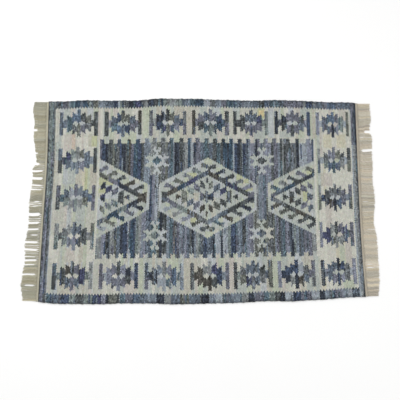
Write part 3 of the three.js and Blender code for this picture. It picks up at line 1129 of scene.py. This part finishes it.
def makeFringe(side):
    draw = np.random.default_rng(fringe["seed"] + (side == "right"))
    rootY, along, cords = cordLines(side, draw)
    parts = [(*yarn, (0, 0, 1), 1.0) for yarn in yarnLines(side, along, cords, draw)]
    # The knots carry painted shade
    parts.append((*knotLines(side, rootY, draw), (1, 0, 0), knot["shade"][side]))
    count = len(rootY)
    base = linear(fringe["colours"][side])
    locks = np.linspace(rootY[0], rootY[-1], fringe["locks"])
    lockLight = np.interp(rootY, locks, draw.normal(0, fringe["lockLight"], len(locks)))
    lockWarmth = np.interp(rootY, locks, draw.normal(0, fringe["lockWarmth"], len(locks)))
    warm = lockWarmth[:, None] * np.array([1.0, 0.2, -1.0])  # more red and less blue
    # Put the yarns together as one mesh. On the flat map each has a cell of its own.
    points, triangles, tints, yarnPlaces, flat = [], [], [], [], []
    total = 0
    edge = flatMap["cellEdge"]
    cells = math.ceil(math.sqrt(count * len(parts)))
    for place, (line, radii, reference, shade) in enumerate(parts):
        found, faces, corners = tubes(line, radii, fringe["sides"], reference)
        found[:, 2] = np.maximum(found[:, 2], fringe["least"] * mm)
        points.append(found)
        triangles.append(faces + total)
        total += len(found)
        light = shade * (1 + lockLight + draw.normal(0, fringe["yarnLight"], count))
        tint = base * light[:, None] * (1 + warm + draw.normal(0, fringe["yarnHue"], (count, 3)))
        tints.append(np.repeat(tint, corners.size // 2, axis=0))
        lengths = np.linalg.norm(np.diff(line, axis=1), axis=2).sum(1) / mm
        turned = np.tile(corners.reshape(-1, 2), (count, 1, 1))
        yarnPlaces.append((turned * np.stack([lengths, np.ones(count)], -1)[:, None]).reshape(-1, 2))
        number = place * count + np.arange(count)
        spot = np.stack([number % cells, number // cells], -1)[:, None]
        flat.append(((spot + edge + (1 - 2 * edge) * turned) / cells).reshape(-1, 2))
    ob = triangleMesh("fringe_" + side + "_cords", np.vstack(points), np.vstack(triangles))
    setTint(ob.data, keepColour(np.vstack(tints)))
    setUv(ob.data, "yarn", np.vstack(yarnPlaces))
    setUv(ob.data, "OFBake", np.vstack(flat))
    print(ob.name, count, "cords,", len(ob.data.polygons), "triangles")
    return ob


# Shader groups. Each is built once and placed in the materials with its own values.
def newGroup(name, inputs, outputs):
    tree = bpy.data.node_groups.new(name, "ShaderNodeTree")
    for label, kind, value in inputs:
        socket = tree.interface.new_socket(label, in_out="INPUT", socket_type="NodeSocket" + kind)
        if value is not None:
            socket.default_value = value
    for label, kind in outputs:
        tree.interface.new_socket(label, in_out="OUTPUT", socket_type="NodeSocket" + kind)
    return tree, tree.nodes.new("NodeGroupInput"), tree.nodes.new("NodeGroupOutput")


def plug(tree, node, sources):
    # What goes into the sockets of a node: a number, a colour or another node's output
    for key, source in sources.items():
        if isinstance(source, bpy.types.NodeSocket):
            tree.links.new(source, node.inputs[key])
        else:
            node.inputs[key].default_value = source
    return node


def addNode(tree, kind, sources=(), **settings):
    node = tree.nodes.new("ShaderNode" + kind)
    for name, value in settings.items():
        setattr(node, name, value)
    return plug(tree, node, dict(sources))


def addGroup(tree, group, sources):
    node = tree.nodes.new("ShaderNodeGroup")
    node.node_tree = group
    return plug(tree, node, sources)


def calc(tree, operation, first, second=None, third=None, clamp=False):
    sources = {0: first}
    if second is not None:
        sources[1] = second
    if third is not None:
        sources[2] = third
    return addNode(tree, "Math", sources, operation=operation, use_clamp=clamp).outputs[0]


def buildBeadGroove():
    # How close a place is to the edge of its bead, from places on the weave counted in beads
    tree, given, result = newGroup(
        "beadGroove",
        [("Weave", "Vector", None), ("Width", "Float", 0.35)],
        [("Groove", "Float"), ("Height", "Float")],
    )
    parts = addNode(tree, "SeparateXYZ", {0: given.outputs["Weave"]})
    both = calc(tree, "ADD", parts.outputs[0], parts.outputs[1])
    apart = calc(tree, "SUBTRACT", parts.outputs[0], parts.outputs[1])
    edges = []
    for value in (both, apart):
        half = calc(tree, "MULTIPLY_ADD", value, 0.5, 0.5)
        share = calc(tree, "FRACT", half)
        centred = calc(tree, "MULTIPLY_ADD", share, 2.0, -1.0)
        edges.append(calc(tree, "ABSOLUTE", centred))
    edge = calc(tree, "SMOOTH_MAX", edges[0], edges[1], 0.25)  # a bead's corners are rounded
    start = calc(tree, "SUBTRACT", 1.0, given.outputs["Width"])
    rest = calc(tree, "SUBTRACT", edge, start)
    groove = calc(tree, "DIVIDE", rest, given.outputs["Width"], clamp=True)
    tree.links.new(groove, result.inputs["Groove"])
    dome = calc(tree, "POWER", edge, 2.0)
    tree.links.new(calc(tree, "SUBTRACT", 1.0, dome), result.inputs["Height"])
    return tree


def buildPlyLines():
    # Ply lines that wind round each yarn, from places along it in mm and around it as a share
    tree, given, result = newGroup(
        "plyLines",
        [("Yarn", "Vector", None), ("Plies", "Float", 2.0), ("Wind", "Float", 0.28)],
        [("Groove", "Float"), ("Height", "Float")],
    )
    parts = addNode(tree, "SeparateXYZ", {0: given.outputs["Yarn"]})
    wound = calc(tree, "MULTIPLY_ADD", parts.outputs[0], given.outputs["Wind"], parts.outputs[1])
    turned = calc(tree, "MULTIPLY", wound, given.outputs["Plies"])
    wave = calc(tree, "SINE", calc(tree, "MULTIPLY", turned, 2 * math.pi))
    dome = calc(tree, "ABSOLUTE", wave)
    tree.links.new(calc(tree, "SUBTRACT", 1.0, dome), result.inputs["Groove"])
    tree.links.new(dome, result.inputs["Height"])
    return tree


def buildFibreGrain():
    # Fine threads, the light and dark flecks of torn denim, and wide patches for slow fading
    tree, given, result = newGroup(
        "fibreGrain",
        [("Vector", "Vector", None), ("Fineness", "Float", 700.0),
         ("Stretch", "Vector", (1.0, 0.25, 1.0))],
        [("Fibre", "Float"), ("Fleck", "Float"), ("Wide", "Float")],
    )
    places, fineness = given.outputs["Vector"], given.outputs["Fineness"]
    long = addNode(tree, "VectorMath", {0: places, 1: given.outputs["Stretch"]}, operation="MULTIPLY")
    fibre = addNode(tree, "TexNoise", {
        "Vector": long.outputs[0], "Scale": fineness, "Detail": 3.0, "Roughness": 0.6,
    })
    coarse = calc(tree, "MULTIPLY", fineness, 0.4)  # flecks are larger than threads
    fleck = addNode(tree, "TexNoise", {
        "Vector": long.outputs[0], "Scale": coarse, "Detail": 2.0, "Roughness": 0.7,
    })
    wide = addNode(tree, "TexNoise", {"Vector": places, "Scale": 2.2, "Detail": 3.0})
    tree.links.new(fibre.outputs[0], result.inputs["Fibre"])
    tree.links.new(fleck.outputs[0], result.inputs["Fleck"])
    tree.links.new(wide.outputs[0], result.inputs["Wide"])
    return tree


def buildClothTint():
    # Rag or yarn colour with its flecks and slow fading, and painted shade in the grooves
    tree, given, result = newGroup(
        "clothTint",
        [("Tint", "Color", None), ("Fleck", "Float", 0.5), ("Wide", "Float", 0.5),
         ("Groove", "Float", 0.0), ("Fleck Amount", "Float", 0.3), ("Fade Amount", "Float", 0.1),
         ("Shade Amount", "Float", 0.4)],
        [("Color", "Color")],
    )
    changes = []
    for source, amount in (("Fleck", "Fleck Amount"), ("Wide", "Fade Amount")):
        around = calc(tree, "SUBTRACT", given.outputs[source], 0.5)
        changes.append(calc(tree, "MULTIPLY", around, given.outputs[amount]))
    # Painted shade: darker towards the grooves between beads and plies
    shade = calc(tree, "MULTIPLY", given.outputs["Groove"], given.outputs["Shade Amount"])
    light = calc(tree, "ADD", changes[0], changes[1])
    light = calc(tree, "SUBTRACT", light, shade)
    light = calc(tree, "ADD", light, 1.0)
    tinted = {0: given.outputs["Tint"], "Scale": light}
    scaled = addNode(tree, "VectorMath", tinted, operation="SCALE")
    tree.links.new(scaled.outputs[0], result.inputs["Color"])
    return tree


beadGroove = buildBeadGroove()
plyLines = buildPlyLines()
fibreGrain = buildFibreGrain()
clothTint = buildClothTint()

# Finishes. shade is how dark the painted shade in the grooves is. The depth of the bump is in metres.
finishes = {
    "ragWeave": {
        "fineness": 620.0, "stretch": (1.0, 0.22, 1.0), "fleck": 0.7, "fade": 0.14, "shade": 0.34,
        "groove": 0.42, "roughness": (0.86, 0.98), "bump": 0.35, "depth": 0.0009, "sheen": 0.12,
    },
    "cottonHeading": {
        "fineness": 900.0, "stretch": (1.0, 0.25, 1.0), "fleck": 0.35, "fade": 0.10, "shade": 0.30,
        "groove": 0.40, "roughness": (0.84, 0.96), "bump": 0.3, "depth": 0.0007, "sheen": 0.12,
    },
    "cottonFringe": {
        "fineness": 1100.0, "stretch": (0.22, 1.0, 1.0), "fleck": 0.35, "fade": 0.12, "shade": 0.16,
        "plies": 2, "wind": 0.28, "roughness": (0.84, 0.96), "bump": 0.35, "depth": 0.0006,
        "sheen": 0.15,
    },
}
softCotton = {"Sheen Roughness": 0.6, "Specular IOR Level": 0.2}  # the same for all three
fibreHeight = 0.5  # of the threads, against the beads or plies


def setSockets(shader, values):
    for name, value in values.items():
        shader.inputs[name].default_value = value


def clothMaterial(name, layer):
    finish = finishes[name]
    material = bpy.data.materials.new(name)
    material.use_nodes = True
    tree = material.node_tree
    shader = tree.nodes["Principled BSDF"]
    tint = addNode(tree, "VertexColor", layer_name="tint")
    places = addNode(tree, "TexCoord")
    grain = addGroup(tree, fibreGrain, {
        "Vector": places.outputs["Object"], "Fineness": finish["fineness"],
        "Stretch": finish["stretch"],
    })
    lay = addNode(tree, "UVMap", uv_map=layer).outputs[0]
    if layer == "weave":
        surface = addGroup(tree, beadGroove, {"Weave": lay, "Width": finish["groove"]})
    else:
        plies = {"Yarn": lay, "Plies": finish["plies"], "Wind": finish["wind"]}
        surface = addGroup(tree, plyLines, plies)
    # The colour carries painted shade in the grooves
    colour = addGroup(tree, clothTint, {
        "Tint": tint.outputs[0], "Fleck": grain.outputs["Fleck"], "Wide": grain.outputs["Wide"],
        "Groove": surface.outputs["Groove"], "Fleck Amount": finish["fleck"],
        "Fade Amount": finish["fade"], "Shade Amount": finish["shade"],
    })
    tree.links.new(colour.outputs[0], shader.inputs["Base Color"])
    fibre = grain.outputs["Fibre"]
    low, high = finish["roughness"]
    rough = addNode(tree, "MapRange", {"Value": fibre, "To Min": low, "To Max": high})
    tree.links.new(rough.outputs[0], shader.inputs["Roughness"])
    height = calc(tree, "MULTIPLY_ADD", fibre, fibreHeight, surface.outputs["Height"])
    bump = addNode(tree, "Bump", {
        "Height": height, "Strength": finish["bump"], "Distance": finish["depth"],
    })
    tree.links.new(bump.outputs[0], shader.inputs["Normal"])
    setSockets(shader, {"Sheen Weight": finish["sheen"], **softCotton})
    return material


# Floor and lights
studio = {
    "floor": (0.93, 0.93, 0.925),
    "floorSize": 30.0,
    "floorHeight": -0.0003,  # just under the rug
    "floorMottle": 0.985,  # light of its darkest patches against the lightest
    "floorFinish": {"Roughness": 0.8, "Specular IOR Level": 0.1},
    "sky": (1.0, 1.0, 1.0),
    "skyStrength": 0.78,
    "lamps": [
        {"name": "softboxLeft", "at": (-2.2, 1.4, 3.4), "size": 3.0, "power": 62.0},
        {"name": "softboxRight", "at": (2.4, -0.6, 3.6), "size": 3.0, "power": 30.0},
    ],
}


def makeStudio():
    half, height = studio["floorSize"] / 2, studio["floorHeight"]
    corners = [(x * half, y * half, height) for x, y in ((-1, -1), (1, -1), (1, 1), (-1, 1))]
    mesh = bpy.data.meshes.new("floor")
    mesh.from_pydata(corners, [], [(0, 1, 2, 3)])
    floor = bpy.data.objects.new("floor", mesh)
    bpy.context.scene.collection.objects.link(floor)
    material = bpy.data.materials.new("paleFloor")
    material.use_nodes = True
    tree = material.node_tree
    shader = tree.nodes["Principled BSDF"]
    places = addNode(tree, "TexCoord").outputs["Object"]
    mottle = addNode(tree, "TexNoise", {"Vector": places, "Scale": 3.0, "Detail": 2.0})
    patches = {"Value": mottle.outputs[0], "To Min": studio["floorMottle"], "To Max": 1.0}
    painted = {0: studio["floor"], "Scale": addNode(tree, "MapRange", patches).outputs[0]}
    colour = addNode(tree, "VectorMath", painted, operation="SCALE")
    tree.links.new(colour.outputs[0], shader.inputs["Base Color"])
    setSockets(shader, studio["floorFinish"])
    mesh.materials.append(material)
    world = bpy.data.worlds.new("sky")
    world.use_nodes = True
    background = world.node_tree.nodes["Background"]
    background.inputs["Color"].default_value = (*studio["sky"], 1)
    background.inputs["Strength"].default_value = studio["skyStrength"]
    bpy.context.scene.world = world
    for lamp in studio["lamps"]:
        data = bpy.data.lights.new(lamp["name"], "AREA")
        data.size = lamp["size"]
        data.energy = lamp["power"]
        ob = bpy.data.objects.new(lamp["name"], data)
        ob.location = lamp["at"]
        ob.rotation_euler = (-Vector(lamp["at"])).to_track_quat("-Z", "Y").to_euler()
        bpy.context.scene.collection.objects.link(ob)
    view = bpy.context.scene.view_settings
    view.view_transform = "Standard"
    view.look = "None"
    return floor


makeCamera()
floor = makeStudio()
print("camera and studio ready")

rugCloth = wovenSheet("rugCloth", cloth, onCloth, ragColours)
rugCloth.data.materials.append(clothMaterial("ragWeave", "weave"))
cottonHeading = clothMaterial("cottonHeading", "weave")
cottonFringe = clothMaterial("cottonFringe", "yarn")
headings = {}
fringes = {}
for side in endSigns:
    headings[side] = makeHeading(side)
    headings[side].data.materials.append(cottonHeading)
    fringes[side] = makeFringe(side)
    fringes[side].data.materials.append(cottonFringe)
print("cloth, headings and fringes ready")

# What each piece is and what it stands for
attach(rugCloth, "root")
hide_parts("cloth")
for side in endSigns:
    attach(headings[side], "root")
    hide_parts("heading_" + side)
    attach(fringes[side], "root")
    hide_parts("fringe_" + side)
